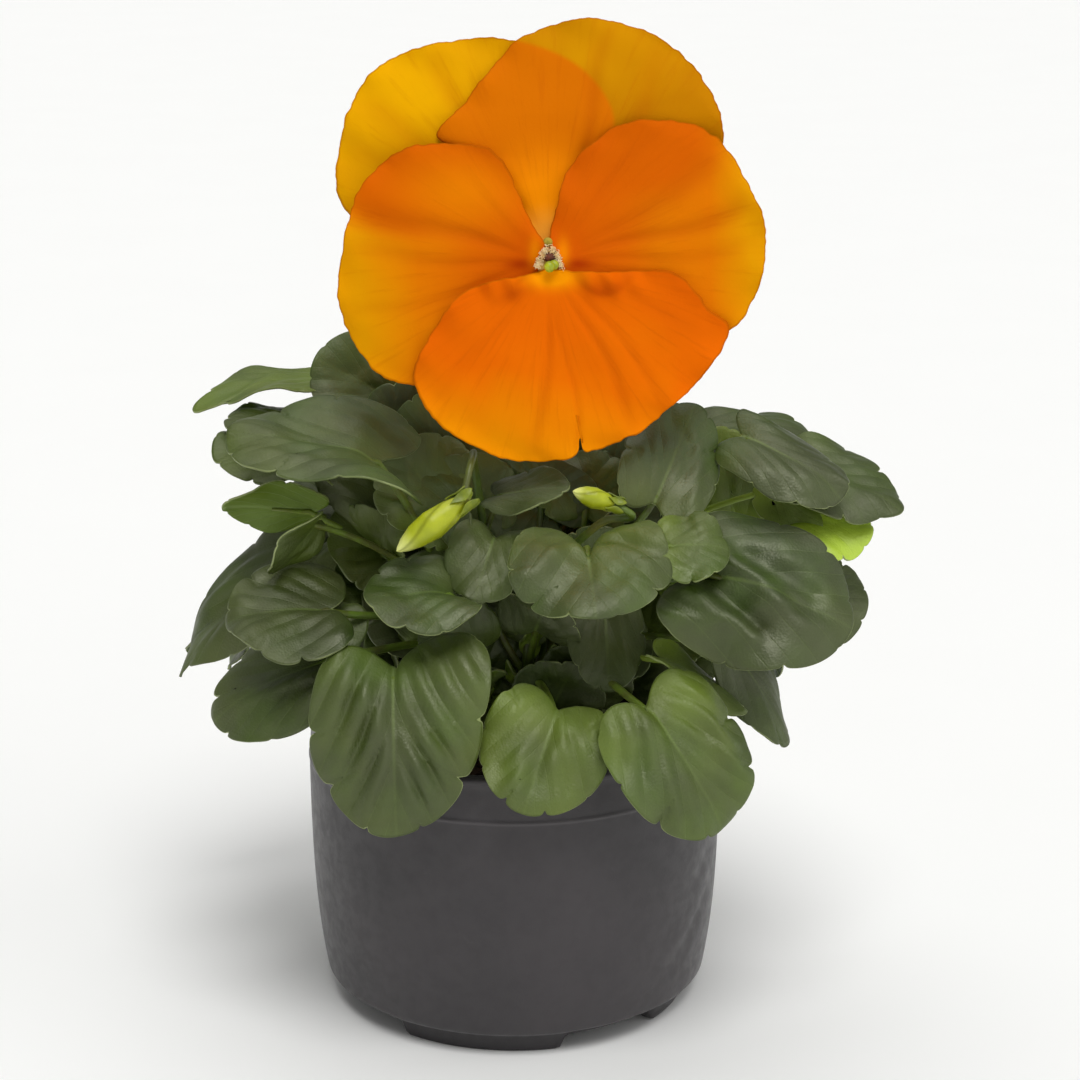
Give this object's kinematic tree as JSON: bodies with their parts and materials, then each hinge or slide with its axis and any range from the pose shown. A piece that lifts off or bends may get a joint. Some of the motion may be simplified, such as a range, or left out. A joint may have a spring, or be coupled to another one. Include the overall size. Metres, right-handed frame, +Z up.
{
  "type": "potted pansy planter",
  "caption": "Round thin-walled plastic nursery pot with a low dome of rounded, crenate leaves and a large orange pansy bloom facing forward on a curved stalk above it.",
  "frame": {"origin": "on the surface that the pot stands on, below the middle of the planter's box, which is within 2 mm of the pot's axis", "axes": "+Z up along the pot's axis and the plant's growth, -Y towards the side that the bloom faces, +X to the right seen from there"},
  "size_m": [0.1855, 0.1437, 0.2501],
  "materials": {
    "pot": "matte dark grey, thin thermoformed wall with a faint grain",
    "compost": "rough dark brown fibre and crumbs",
    "leaf": "satin to glossy dark green with paler veins and margin",
    "stalk": "satin light green",
    "petal": "velvety orange, thin and slightly translucent",
    "bud": "satin yellow-green"
  },
  "bodies": {
    "root": {"pot": "pot", "compost": "compost", "leafy_stem_front_left": "leaf", "leafy_stem_front": "leaf", "leafy_stem_front_right": "leaf", "leafy_stem_right": "leaf", "leafy_stem_left": "leaf", "leafy_stem_left_front": "leaf", "leafy_stem_left_back": "leaf", "leafy_stem_back": "leaf", "leafy_stem_back_right": "leaf", "leafy_stem_right_back": "leaf", "flower_stalk": "stalk", "bloom": "petal", "bud_left": "bud", "bud_right": "bud"}
  },
  "joints": []
}
